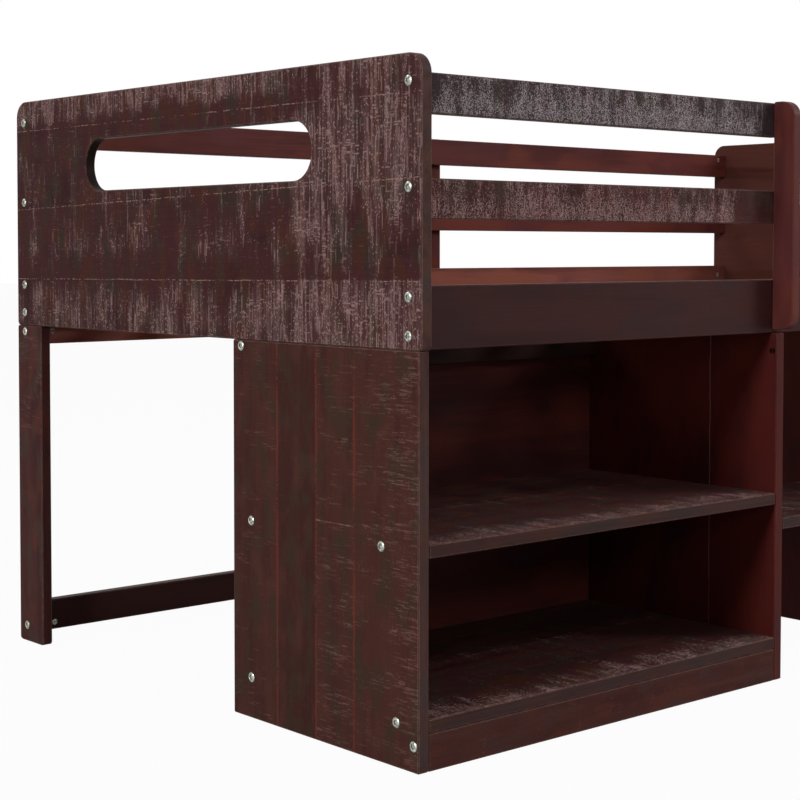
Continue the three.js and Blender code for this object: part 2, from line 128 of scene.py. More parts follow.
# How much of an end panel the marks cover, as pairs of a share of its height and a level
REAR_COVERAGE = (
    (0.00, 0.56), (0.06, 0.72), (0.16, 0.60), (0.215, 0.40), (0.225, 0.14), (0.28, 0.22), (0.36, 0.50),
    (0.44, 0.36), (0.52, 0.30), (0.56, 0.42), (0.80, 0.30), (0.88, 0.16), (0.93, 0.66), (1.00, 0.84),
)
FRONT_COVERAGE = (
    (0.00, 0.92), (0.14, 0.92), (0.215, 0.62), (0.225, 0.20), (0.30, 0.34), (0.42, 0.52),
    (0.54, 0.70), (0.56, 0.82), (0.80, 0.84), (0.88, 0.62), (0.92, 0.70), (1.00, 0.86),
)
# The slope of its planks, and the depths between which the front levels give way to the rear ones
PANEL_SLOPE = 0.016
FRONT_DEPTH, REAR_DEPTH = 160 * MM, 420 * MM

# Cover of the other boards: where it changes, and between which levels
GUARD_EDGE, GUARD_LEVELS = 12 * MM, (0.90, 0.62)
GUARD_FADE_IN, GUARD_FADE_OUT = 25 * MM, 45 * MM
BARE_UPPER, BARE_LOWER = 30 * MM, 105 * MM
SHELF_BAND, SHELF_LEVELS = (20 * MM, 85 * MM), (0.66, 0.14)
STREAK_DEPTH, STREAK_REACH, STREAK_LEVEL = 235 * MM, 45 * MM, 0.42
SIDE_BAND, SIDE_LEVELS = (20 * MM, 90 * MM), (0.52, 0.26)
LEG_SHARES, LEG_LEVELS = (0.55, 0.75), (0.08, 0.46)
STRETCHER_LEVEL, KICKBOARD_LEVEL, TREAD_LEVEL = 0.12, 0.08, 0.45
# How far inside an end panel's outline its grip slot begins, where painted shade darkens the slot's edges
GRIP_INSET = (40 * MM, 60 * MM)

# Sizes of the patterns, along and across a board
FIGURE_SIZE = (450 * MM, 26 * MM)
GRAIN_SIZE = (90 * MM, 2.2 * MM)
LADDER_SIZE = (50 * MM, 50 * MM)
WANDER_SIZE = (50 * MM, 500 * MM)
SEAM_FLECK_SIZE = (2.6 * MM, 4 * MM)
CHIP_SIZE = (10 * MM, 10 * MM)
JOINT_BREAK_SIZE = (12 * MM, 12 * MM)
MOTTLE_SIZE = (3 * MM, 3 * MM)
SEAM_WANDER, SEAM_BREADTH = 5 * MM, 30 * MM
# Where a second noise is read, so that it differs from the first
ELSEWHERE = (3.1, 1.7, 0.9)

# Limits between which a noise or another number turns into a mask
FACING_LIMITS = (0.55, 0.85)
STREAK_LIMITS = (0.38, 0.62)
LADDER_LIMITS = (0.46, 0.60)
CELL_LIMITS = (-0.03, 0.03)
SPARSE_LIMITS = (0.0, 0.8)
TONE_LIMITS = (0.36, 0.64)
CAST_LIMITS = (0.48, 0.66)
GRAIN_LIMITS = (0.3, 0.7)
SEAM_LIMITS = (0.35, 0.75)
ARRIS_LIMITS = (0.01, 0.16)
CHIP_LIMITS = (0.34, 0.60)
JOINT_LIMITS = (0.40, 0.60)
MOTTLE_LIMITS = (0.36, 0.64)
SHEEN_LIMITS = (0.3, 0.7)
GRIME_AND_SHADE_LIMITS = (0.3, 1.0)


def linear(red, green, blue):
    """A colour given in 0 to 255 as seen on a screen, turned into linear light."""
    shares = np.array((red, green, blue)) / 255
    low = shares / 12.92
    high = ((shares + 0.055) / 1.055) ** 2.4
    return (*np.where(shares <= 0.04045, low, high), 1.0)


# Node trees


class Tree:
    """A shader tree with short ways to add and join nodes; a value is a socket, a number or a colour."""

    def __init__(self, tree):
        self.tree = tree

    def add(self, kind, **settings):
        node = self.tree.nodes.new(kind)
        for name, value in settings.items():
            setattr(node, name, value)
        return node

    def join(self, source, target):
        self.tree.links.new(source, target)

    def put(self, target, value):
        """Links a socket to the target, or sets the target when the value is a plain number or colour."""
        if isinstance(value, bpy.types.NodeSocket):
            self.join(value, target)
        else:
            target.default_value = value

    def maths(self, operation, first, second=0.0, clamp=False):
        node = self.add("ShaderNodeMath", operation=operation, use_clamp=clamp)
        self.put(node.inputs[0], first)
        self.put(node.inputs[1], second)
        return node.outputs[0]

    def plus(self, first, second):
        return self.maths("ADD", first, second)

    def minus(self, first, second):
        return self.maths("SUBTRACT", first, second)

    def times(self, first, second, clamp=False):
        return self.maths("MULTIPLY", first, second, clamp)

    def over(self, first, second):
        return self.maths("DIVIDE", first, second)

    def vector(self, operation, first, second=ORIGIN, output="Vector"):
        node = self.add("ShaderNodeVectorMath", operation=operation)
        self.put(node.inputs[0], first)
        self.put(node.inputs[1], second)
        return node.outputs[output]

    def coordinates(self):
        """The object coordinates, which are the bed's own."""
        return self.add("ShaderNodeTexCoord").outputs["Object"]

    def axes(self, vector):
        """A vector's three numbers, as sockets named X, Y and Z."""
        node = self.add("ShaderNodeSeparateXYZ")
        self.join(vector, node.inputs[0])
        return node.outputs

    def counts(self, along, across):
        """How many features a metre holds, as a vector, from their size along and across the board."""
        node = self.add("ShaderNodeCombineXYZ")
        count_across = self.over(1.0, across)
        self.put(node.inputs[0], self.over(1.0, along))
        self.put(node.inputs[1], count_across)
        self.put(node.inputs[2], count_across)
        return node.outputs[0]

    def noise(self, board, along, across, detail=2.0, roughness=0.5, distortion=0.0):
        """Noise, about 0.5 in the middle, whose features have a given size along and across the board."""
        scaled = self.vector("MULTIPLY", board, self.counts(along, across))
        node = self.add("ShaderNodeTexNoise")
        values = dict(Vector=scaled, Scale=1.0, Detail=detail, Roughness=roughness, Distortion=distortion)
        for name, value in values.items():
            self.put(node.inputs[name], value)
        return node.outputs["Fac"]

    def chance(self, number):
        """A random number that changes wherever the given number does."""
        node = self.add("ShaderNodeTexWhiteNoise", noise_dimensions="1D")
        self.join(number, node.inputs["W"])
        return node.outputs["Value"]

    def cells(self, board, along, across):
        """Random cells of a given size along and across a board's face: three random numbers for each.

        Columns run across the board, each shifted by a random amount and cut into cells. One of y and z
        stays the same all over a face, so their sum runs across it.
        """
        place = self.axes(board)
        column = self.maths("FLOOR", self.over(place["X"], along))
        height = self.over(self.plus(place["Y"], place["Z"]), across)
        row = self.maths("FLOOR", self.plus(height, self.chance(column)))
        cell = self.add("ShaderNodeCombineXYZ")
        self.join(column, cell.inputs["X"])
        self.join(row, cell.inputs["Y"])
        random = self.add("ShaderNodeTexWhiteNoise", noise_dimensions="2D")
        self.join(cell.outputs[0], random.inputs["Vector"])
        numbers = self.add("ShaderNodeSeparateColor")
        self.join(random.outputs["Color"], numbers.inputs[0])
        return numbers.outputs

    def ramp(self, value, low, high, out_low=0.0, out_high=1.0):
        """A smooth step from out_low to out_high as the value goes from low to high."""
        node = self.add("ShaderNodeMapRange", interpolation_type="SMOOTHSTEP")
        for socket, number in zip(node.inputs, (value, low, high, out_low, out_high)):
            self.put(socket, number)
        return node.outputs["Result"]

    def mix(self, share, first, second):
        """A colour between two colours."""
        node = self.add("ShaderNodeMix", data_type="RGBA")
        self.put(node.inputs["Factor"], share)
        self.put(node.inputs[6], first)
        self.put(node.inputs[7], second)
        return node.outputs[2]

    def blend(self, share, first, second):
        """A number between two numbers."""
        node = self.add("ShaderNodeMix", data_type="FLOAT")
        self.put(node.inputs["Factor"], share)
        self.put(node.inputs[2], first)
        self.put(node.inputs[3], second)
        return node.outputs[0]

    def use(self, group, **values):
        """Places a node group, with values for the inputs that its keywords name."""
        node = self.add("ShaderNodeGroup", node_tree=group)
        for name, value in values.items():
            self.put(node.inputs[name], value)
        return node.outputs


def node_group(name, inputs, outputs, build):
    """A node group: inputs holds defaults, outputs holds kinds, and build returns the outputs' sockets.

    A default of three numbers makes a vector input, and one of four a colour.
    """
    tree = bpy.data.node_groups.new(name, "ShaderNodeTree")
    for label, value in inputs.items():
        kind = "Float" if isinstance(value, float) else {3: "Vector", 4: "Color"}[len(value)]
        socket = tree.interface.new_socket(label, in_out="INPUT", socket_type="NodeSocket" + kind)
        socket.default_value = value
    for label, kind in outputs.items():
        tree.interface.new_socket(label, in_out="OUTPUT", socket_type="NodeSocket" + kind)
    inner = Tree(tree)
    entry = inner.add("NodeGroupInput")
    leave = inner.add("NodeGroupOutput")
    for label, socket in zip(outputs, build(inner, entry.outputs)):
        inner.join(socket, leave.inputs[label])
    return tree


def build_faces(tree, given):
    """Masks of the faces that look away from the bed's middle along the given axis, and back to it."""
    place = tree.add("ShaderNodeTexCoord")
    outward = tree.vector("MULTIPLY", tree.vector("SIGN", place.outputs["Object"]), given["Outward"])
    facing = tree.vector("DOT_PRODUCT", place.outputs["Normal"], outward, "Value")
    return tree.ramp(facing, *FACING_LIMITS), tree.ramp(tree.times(facing, -1.0), *FACING_LIMITS)


# Saw marks: multiples of the group's sizes, shares and levels
NARROW_REACH, BROAD_PITCH, NARROW_SHARE = 3.0, 2.6, 0.62
BLOTCH_ALONG, BARE_START, COVERED_START, BLOTCH_STEP = 0.25, 0.60, 0.06, 0.46
SPECK_ACROSS, HAIR_ALONG, HAIR_ACROSS, DASH_ALONG = 1.2, 1.1, 0.4, 5.0
SPECK_LEVEL, HAIR_LEVEL, DASH_LEVEL = 1.0, 0.7, 0.8
DIMMEST_SHARE, SPARSE_LEVEL = 0.25, 0.35
STREAK_RELIEF, FLECK_RELIEF = 0.5, 0.25


def build_saw_marks(tree, given):
    """Pale flecks across the board, as a saw and a dry brush leave them.

    Streaks across the board and large blotches give how densely the flecks lie. The board is parted into
    small cells (specks), long thin cells across it (hairs) and short flat cells along it (dashes), and a
    cell is pale where its random number is below that density. A thin haze fills the dense places, and
    sparse flecks are faint.
    """
    board, patch, speck = given["Board"], given["Patch"], given["Speck"]
    pitch, reach = given["Pitch"], given["Reach"]
    narrow = tree.noise(board, pitch, tree.times(reach, NARROW_REACH), detail=1.0)
    broad = tree.noise(board, tree.times(pitch, BROAD_PITCH), reach, roughness=0.6)
    streak = tree.plus(tree.times(narrow, NARROW_SHARE), tree.times(broad, 1.0 - NARROW_SHARE))
    streak = tree.ramp(streak, *STREAK_LIMITS, given["Evenness"], 1.0)
    blotches = tree.noise(board, tree.times(patch, BLOTCH_ALONG), patch, detail=3.0, roughness=0.6)
    start = tree.minus(BARE_START, tree.times(given["Coverage"], BARE_START - COVERED_START))
    covered = tree.ramp(blotches, start, tree.plus(start, BLOTCH_STEP))
    density = tree.times(streak, covered)
    ladder = tree.ramp(tree.noise(board, *LADDER_SIZE, detail=1.0), *LADDER_LIMITS)
    dashes = tree.times(ladder, given["Dashes"])
    layers = (
        (speck, tree.times(speck, SPECK_ACROSS), given["Specks"], SPECK_LEVEL),
        (tree.times(speck, HAIR_ALONG), tree.times(reach, HAIR_ACROSS), given["Hairs"], HAIR_LEVEL),
        (tree.times(speck, DASH_ALONG), speck, dashes, DASH_LEVEL),
    )
    mask = tree.times(density, given["Haze"])
    for along, across, share, level in layers:
        cells = tree.cells(board, along, across)
        lit = tree.ramp(tree.minus(tree.times(density, share), cells[0]), *CELL_LIMITS)
        pale = tree.plus(tree.times(cells[1], level * (1.0 - DIMMEST_SHARE)), level * DIMMEST_SHARE)
        mask = tree.maths("MAXIMUM", tree.times(lit, pale), mask)
    mask = tree.times(mask, tree.ramp(covered, *SPARSE_LIMITS, SPARSE_LEVEL, 1.0))
    mask = tree.times(mask, given["Strength"], clamp=True)
    return mask, tree.plus(tree.times(narrow, STREAK_RELIEF), tree.times(mask, FLECK_RELIEF))


# Stain: how many times longer the drifts of tone are than the casts, and how strong a cast may be
DRIFT_LENGTH, CAST_SHARE = 3.0, 0.8


def build_stain(tree, given):
    """Stain over grain: drawn-out lines along the board, with slow drifts of tone and of two casts.

    Figure is how much of the tone follows the grain, and the casts lie in patches of a given size.
    """
    board, along, across = given["Board"], given["Along"], given["Across"]
    figure = tree.noise(board, *FIGURE_SIZE, detail=3.0, roughness=0.55, distortion=0.5)
    fine = tree.noise(board, *GRAIN_SIZE, detail=3.0, roughness=0.65)
    drift = tree.noise(board, tree.times(along, DRIFT_LENGTH), across)
    warm = tree.noise(board, along, across, detail=3.0)
    cast = tree.noise(tree.vector("ADD", board, ELSEWHERE), along, across, detail=3.0)
    tone = tree.plus(tree.blend(given["Figure"], drift, figure), given["Tone"])
    grain = tree.ramp(fine, *GRAIN_LIMITS)
    colour = tree.mix(tree.ramp(tone, *TONE_LIMITS), given["Dark"], given["Light"])
    colour = tree.mix(tree.ramp(warm, *CAST_LIMITS, 0.0, CAST_SHARE), colour, given["Warm"])
    colour = tree.mix(tree.ramp(cast, *CAST_LIMITS, 0.0, CAST_SHARE), colour, given["Cast"])
    line_share = tree.times(tree.minus(1.0, grain), given["Grain"])
    return tree.mix(line_share, colour, given["Line"]), grain


# How strongly a seam's stretches stand out against its flecks
STRETCH_GAIN = 1.9


def build_seam(tree, given):
    """A glued joint: a line that comes and goes along the board, and a mask of what lies beyond it."""
    board = given["Board"]
    straight = tree.plus(given["Place"], tree.times(given["Slope"], tree.axes(board)["X"]))
    wander = tree.minus(tree.noise(board, *WANDER_SIZE, detail=3.0, roughness=0.7), 0.5)
    offset = tree.plus(tree.minus(given["Across"], straight), tree.times(wander, SEAM_WANDER))
    line = tree.ramp(tree.maths("ABSOLUTE", offset), 0.0, given["Width"], 1.0, 0.0)
    stretches = tree.noise(board, given["Run"], SEAM_BREADTH)
    flecks = tree.times(tree.cells(board, *SEAM_FLECK_SIZE)[0], given["Flecks"])
    breaks = tree.ramp(tree.minus(tree.times(stretches, STRETCH_GAIN), flecks), *SEAM_LIMITS)
    return tree.times(line, breaks), tree.maths("GREATER_THAN", offset, 0.0)


# Rays that look for an arris, and how pale it stays between chips, from rubbing and a painted highlight
ARRIS_RAYS, LEAST_WEAR_AND_HIGHLIGHT = 6, 0.3


def build_edge_wear_and_highlight(tree, given):
    """A mask of pale arrises, partly rubbed and partly a painted highlight: where a rounded normal parts
    from the true one, broken up by noise.
    """
    bevel = tree.add("ShaderNodeBevel", samples=ARRIS_RAYS)
    tree.put(bevel.inputs["Radius"], given["Width"])
    true_normal = tree.add("ShaderNodeNewGeometry").outputs["Normal"]
    agreement = tree.vector("DOT_PRODUCT", bevel.outputs["Normal"], true_normal, "Value")
    arris = tree.ramp(tree.minus(1.0, agreement), *ARRIS_LIMITS)
    chips = tree.noise(given["Board"], *CHIP_SIZE, detail=4.0, roughness=0.65)
    worn_and_highlit = tree.ramp(chips, *CHIP_LIMITS, LEAST_WEAR_AND_HIGHLIGHT, 1.0)
    return (tree.times(tree.times(arris, worn_and_highlit), given["Strength"], clamp=True),)


FACES = node_group("faces", dict(Outward=ORIGIN), dict(Outer="Float", Inner="Float"), build_faces)
SAW_MARKS = node_group(
    "saw_marks",
    dict(
        Board=ORIGIN, Pitch=6 * MM, Reach=70 * MM, Speck=1.3 * MM, Patch=200 * MM, Evenness=0.05,
        Specks=0.6, Hairs=0.34, Dashes=0.42, Haze=0.2, Coverage=0.5, Strength=1.0,
    ),
    dict(Mask="Float", Height="Float"),
    build_saw_marks,
)
STAIN = node_group(
    "stain",
    dict(
        Board=ORIGIN, Dark=WHITE, Light=WHITE, Warm=WHITE, Cast=WHITE, Line=WHITE,
        Grain=0.5, Figure=0.5, Along=60 * MM, Across=30 * MM, Tone=0.0,
    ),
    dict(Colour="Color", Grain="Float"),
    build_stain,
)
SEAM = node_group(
    "seam",
    dict(Board=ORIGIN, Across=0.0, Place=0.0, Slope=0.0, Width=1 * MM, Run=60 * MM, Flecks=1.0),
    dict(Line="Float", Beyond="Float"),
    build_seam,
)
EDGE_WEAR_AND_HIGHLIGHT = node_group(
    "edge_wear_and_highlight", dict(Board=ORIGIN, Width=2 * MM, Strength=1.0), dict(Mask="Float"), build_edge_wear_and_highlight
)

# Materials

# Turns of the pattern, so that its x runs along the boards
ALONG = {
    "x": (0.0, 0.0, 0.0),
    "y": (0.0, 0.0, -math.pi / 2),
    "z": (0.0, math.pi / 2, 0.0),
}
# Where a board's outer face looks: to the bed's ends, to its front and rear, or up
ENDWARD, SIDEWARD, UPWARD = (1, 0, 0), (0, 1, 0), (0, 0, 1)

# Stains, each as a dark shade, a light shade, a warm cast, a cool cast and the shade of the grain lines
SAWN = ((47, 24, 25), (61, 32, 34), (66, 37, 26), (50, 41, 34), (30, 12, 12))
SAWN_SIDE = ((56, 31, 27), (68, 38, 33), (72, 42, 36), (54, 42, 32), (40, 20, 17))
SAWN_UPPER_RAIL = ((45, 35, 38), (60, 45, 50), (66, 39, 46), (57, 51, 43), (32, 24, 26))
SAWN_LOWER_RAIL = ((52, 29, 29), (68, 38, 38), (72, 37, 33), (64, 49, 44), (38, 19, 19))
SAWN_LEG = ((58, 32, 31), (70, 40, 37), (80, 44, 37), (64, 50, 44), (46, 26, 24))
PLAIN = ((54, 28, 27), (66, 36, 33), (68, 34, 28), (56, 35, 35), (36, 17, 16))
EDGES = ((56, 37, 36), (68, 47, 44), (70, 45, 38), (58, 46, 45), (38, 23, 22))
PANEL_EDGES = ((64, 43, 40), (80, 57, 54), (82, 55, 45), (70, 56, 55), (44, 27, 26))
KICKBOARD = ((62, 34, 31), (76, 44, 40), (78, 42, 34), (66, 44, 42), (44, 22, 20))
SIDE_RAIL = ((45, 22, 22), (55, 28, 27), (56, 28, 24), (48, 28, 29), (32, 15, 14))
PLANED = ((50, 16, 15), (73, 26, 23), (78, 29, 21), (56, 22, 24), (33, 10, 9))
PLANED_END = ((60, 31, 27), (84, 48, 42), (88, 48, 38), (68, 42, 39), (40, 19, 16))
PLANED_RAIL = ((66, 30, 28), (92, 45, 42), (96, 46, 37), (78, 38, 40), (50, 21, 19))
PLANED_LOW_RAIL = ((76, 38, 34), (128, 76, 68), (130, 74, 60), (108, 62, 60), (56, 25, 22))
BACK_BOARD = ((49, 24, 23), (75, 34, 31), (78, 34, 27), (57, 30, 31), (36, 16, 15))
# The stretcher's inner face under the bed, darkened with painted shade
STRETCHER_PAINTED_SHADE = ((42, 23, 22), (54, 31, 29), (54, 29, 25), (48, 31, 30), (30, 15, 14))
# The back rail's stain is darkened with painted shade, as the top of each bay lies in the side rail's
# shadow
BACK_RAIL_IN_PAINTED_SHADE = ((30, 17, 16), (40, 23, 21), (40, 21, 18), (34, 22, 21), (22, 11, 10))
PINE = ((190, 150, 102), (217, 184, 138), (214, 174, 120), (205, 165, 118), (150, 104, 62))
# Shades of the saw marks, of pale rubbed arrises that are also a painted highlight, of glued seams, and
# of painted shade in the grip slot and, with dirt, in the bolts' hollows
MARK = (150, 122, 119)
UPPER_RAIL_MARK = (164, 152, 154)
LOWER_RAIL_MARK = (156, 126, 124)
SIDE_MARK = (112, 82, 76)
# The pale shade of rubbed wood, for seams and arrises; along arrises it is also a painted highlight
PALE_WEAR_AND_HIGHLIGHT = (150, 118, 108)
PALE_PLANED_WEAR_AND_HIGHLIGHT = (150, 88, 74)
# The back rail's pale arrises, darkened with painted shade
BACK_RAIL_EDGE_IN_PAINTED_SHADE = (70, 44, 38)
SEAM_SHADE = (100, 46, 36)
SHELF_SEAM_SHADE = (84, 60, 56)
GRIP_SLOT_PAINTED_SHADE = (30, 21, 20)
GRIME_AND_SHADE = (34, 26, 22)
ZINC_DARK, ZINC_LIGHT = (112, 116, 104), (196, 200, 188)

# Strength of the grain lines, of a seam's line, of a plank's tone and of the grain in the relief
SAWN_GRAIN, SIDE_GRAIN, EDGE_GRAIN, PLANED_GRAIN, PINE_GRAIN = 0.2, 0.16, 0.3, 0.15, 0.35
SAWN_SEAM, PLANED_SEAM, PLANK_TONE, GRAIN_RELIEF = 0.8, 0.5, 0.22, 0.25
# Specular levels, and roughness where a pattern is low and where it is high
SATIN, MATT = 0.06, 0.03
SAWN_ROUGHNESS, PLANED_ROUGHNESS, ZINC_ROUGHNESS = (0.55, 0.75), (0.50, 0.38), (0.26, 0.42)
EDGE_ROUGHNESS, PINE_ROUGHNESS = 0.44, 0.62
# Strength and height of the relief, and the inputs of the pale arrises, rubbed and painted highlight
SAWN_RELIEF, PLANED_RELIEF = (0.6, 0.6 * MM), (0.2, 0.4 * MM)
SAWN_WEAR_AND_HIGHLIGHT, PLANED_WEAR_AND_HIGHLIGHT = dict(Width=1.7 * MM), dict(Width=1.8 * MM, Strength=0.6)
# How bright the plating is, and how far dirt and painted shade hide it
BRIGHT_METAL, DULL_METAL, GRIME_AND_SHADE_SHARE = 0.9, 0.35, 0.95

# Saw marks and seams, as the inputs of their node groups
END_PANEL_MARKS = dict(
    Pitch=4 * MM, Reach=50 * MM, Speck=1.8 * MM, Patch=130 * MM, Evenness=0.16,
    Specks=0.28, Hairs=0.40, Dashes=0.40, Haze=0.28, Strength=0.88,
)
RAIL_MARKS = dict(
    Pitch=4.4 * MM, Reach=22 * MM, Speck=1 * MM, Patch=80 * MM, Evenness=0.75,
    Specks=0.50, Hairs=0.14, Dashes=0.0, Haze=0.04,
)
TICK_MARKS = dict(
    Pitch=3.4 * MM, Reach=32 * MM, Speck=1.2 * MM, Patch=100 * MM,
    Specks=0.10, Hairs=0.50, Dashes=0.0, Haze=0.12, Strength=0.95,
)
SHELF_MARKS = dict(
    Pitch=6 * MM, Reach=20 * MM, Speck=1.4 * MM, Patch=100 * MM, Evenness=0.35,
    Specks=0.34, Hairs=0.10, Dashes=0.62, Haze=0.08,
)
FAINT_MARKS = dict(Pitch=5 * MM, Reach=20 * MM, Patch=120 * MM, Haze=0.1, Strength=0.4)
PALE_SEAM = dict(Width=1.2 * MM, Run=90 * MM)
RED_SEAM = dict(Width=3.4 * MM, Run=120 * MM, Flecks=0.5)
DARK_SEAM = dict(Width=1.4 * MM, Run=300 * MM, Flecks=0.3)

# How a stain's tone and casts lie: in upright patches on a board that runs level, or drawn out along it
UPRIGHT = dict(Figure=0.3, Along=35 * MM, Across=75 * MM)
SMOOTH = dict(Figure=0.35, Along=160 * MM, Across=70 * MM)


def new_material(name):
    """A material, its shader tree and the shader of its surface."""
    material = bpy.data.materials.new(name)
    material.use_nodes = True
    return material, Tree(material.node_tree), material.node_tree.nodes["Principled BSDF"]


def board_vector(tree, along):
    """Object coordinates turned so that x runs along the board."""
    mapping = tree.add("ShaderNodeMapping")
    mapping.inputs["Rotation"].default_value = ALONG[along]
    tree.join(tree.coordinates(), mapping.inputs["Vector"])
    return mapping.outputs["Vector"]


def stain(tree, board, shades, grain, tone=0.0, figure=None):
    """The stain group in five shades; figure holds how its tone and casts lie."""
    dark, light, warm, cast, line = (linear(*shade) for shade in shades)
    colours = dict(Dark=dark, Light=light, Warm=warm, Cast=cast, Line=line)
    return tree.use(STAIN, Board=board, Grain=grain, Tone=tone, **colours, **(figure or {}))


def relief(tree, shader, height, strength, distance):
    """Fine relief, too shallow to show in an outline."""
    bump = tree.add("ShaderNodeBump")
    bump.inputs["Strength"].default_value = strength
    bump.inputs["Distance"].default_value = distance
    tree.join(height, bump.inputs["Height"])
    tree.join(bump.outputs["Normal"], shader.inputs["Normal"])


def plank_steps(tree, board, axis, edge, seams, line):
    """The seam lines of a glued-up board, and a random number for each plank."""
    across = tree.axes(tree.coordinates())[axis]
    lines, count = 0.0, 0.0
    for offset, slope in seams:
        seam = tree.use(SEAM, Board=board, Across=across, Place=edge + offset, Slope=slope, **line)
        lines = tree.maths("MAXIMUM", seam["Line"], lines)
        count = tree.plus(seam["Beyond"], count)
    return lines, tree.chance(tree.plus(count, edge))


def profile(tree, value, stops):
    """A number read off a curve, given as pairs of a share along it and a height."""
    node = tree.add("ShaderNodeValToRGB")
    elements = node.color_ramp.elements
    while len(elements) < len(stops):
        elements.new(1.0)
    for element, (share, level) in zip(elements, stops):
        element.position = share
        element.color = (level, level, level, 1.0)
    tree.join(value, node.inputs["Fac"])
    return node.outputs["Color"]


def bookcase_depth(tree):
    """How far a place lies behind the front edges of the bookcases."""
    return tree.minus(tree.axes(tree.coordinates())["Y"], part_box("bookcase_left_outer_side")[LOW].y)


def panel_coverage(tree):
    """How much of an end panel the marks cover: by height over its planks, and more towards the front."""
    low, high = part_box("end_panel_left")
    place = tree.axes(tree.coordinates())
    height = tree.plus(tree.minus(place["Z"], low.z), tree.times(place["Y"], PANEL_SLOPE))
    share = tree.over(height, high.z - low.z)
    front = tree.ramp(place["Y"], low.y + FRONT_DEPTH, low.y + REAR_DEPTH, 1.0, 0.0)
    return tree.blend(front, profile(tree, share, REAR_COVERAGE), profile(tree, share, FRONT_COVERAGE))


def guard_coverage(node, bare):
    """The cover of a front guard rail: densest along its lower edge, and none near the stile."""
    low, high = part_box(node)

    def cover(tree):
        place = tree.axes(tree.coordinates())
        level = tree.ramp(place["Z"], low.z + GUARD_EDGE, high.z - GUARD_EDGE, *GUARD_LEVELS)
        start = bare - high.x
        from_middle = tree.maths("ABSOLUTE", place["X"])
        return tree.times(level, tree.ramp(from_middle, start - GUARD_FADE_IN, start + GUARD_FADE_OUT))

    return cover


def shelf_coverage(tree):
    """Marks in a band along a shelf's front edge and in a streak along its middle, few elsewhere."""
    depth = bookcase_depth(tree)
    band = tree.ramp(depth, *SHELF_BAND, *SHELF_LEVELS)
    from_streak = tree.maths("ABSOLUTE", tree.minus(depth, STREAK_DEPTH))
    return tree.maths("MAXIMUM", band, tree.ramp(from_streak, 0.0, STREAK_REACH, STREAK_LEVEL, 0.0))


def side_coverage(tree):
    """Ticks over a bookcase's outer side, most of them along its front edge."""
    return tree.ramp(bookcase_depth(tree), *SIDE_BAND, *SIDE_LEVELS)


def leg_coverage(tree):
    """Ticks over the upper half of a leg."""
    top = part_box("rear_leg_left")[HIGH].z
    low, high = (top * share for share in LEG_SHARES)
    return tree.ramp(tree.axes(tree.coordinates())["Z"], low, high, *LEG_LEVELS)


def grip_slot_shade_mask(tree):
    """Where an end panel's edge faces lie inside its outline, and so in the grip slot, where they get
    painted shade.
    """
    low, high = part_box("end_panel_left")
    place = tree.axes(tree.coordinates())
    inset = tree.minus(high.z, place["Z"])
    for gap in (tree.minus(place["Y"], low.y), tree.minus(high.y, place["Y"])):
        inset = tree.maths("MINIMUM", gap, inset)
    return tree.ramp(inset, *GRIP_INSET)


def pale_joint(tree):
    """The thin broken line where one plank of an outer side is pieced, from seam to seam."""
    place = tree.coordinates()
    (start, _), (end, _) = BOOKCASE_SIDE_SEAMS[:2]
    off_line = tree.maths("ABSOLUTE", tree.minus(tree.axes(place)["Z"], JOINT_HEIGHT))
    level = tree.ramp(tree.noise(place, *JOINT_BREAK_SIZE), *JOINT_LIMITS, *JOINT_LEVELS)
    line = tree.ramp(off_line, 0.0, JOINT_WIDTH, level, 0.0)
    depth = bookcase_depth(tree)
    beyond = tree.maths("GREATER_THAN", depth, start)
    return tree.times(line, tree.times(beyond, tree.maths("LESS_THAN", depth, end)))


